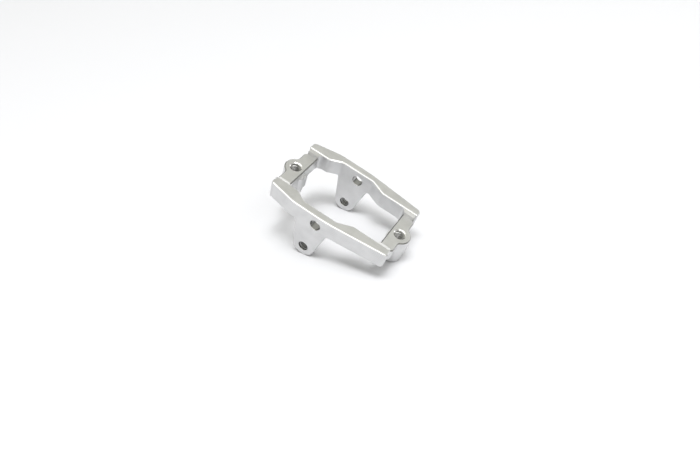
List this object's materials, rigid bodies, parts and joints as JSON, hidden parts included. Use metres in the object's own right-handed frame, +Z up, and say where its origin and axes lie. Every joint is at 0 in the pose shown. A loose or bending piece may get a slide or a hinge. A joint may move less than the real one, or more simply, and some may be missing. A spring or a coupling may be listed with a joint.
{
  "type": "servo bracket",
  "caption": "Machined aluminium servo bracket: stepped side rails joined by end bars with threaded screw bosses, and round-nosed tabs hanging below.",
  "frame": {"origin": "midway between the two end screw holes, on the seats round them", "axes": "+X along the rails, towards the end that is further from the tabs; +Y across the rails; +Z up, away from the tabs"},
  "size_m": [0.0422, 0.0254, 0.0176],
  "materials": {
    "aluminium": "silver anodised, fine milling marks, bright broken edges"
  },
  "bodies": {
    "root": {"servo_bracket": "aluminium"}
  },
  "joints": []
}
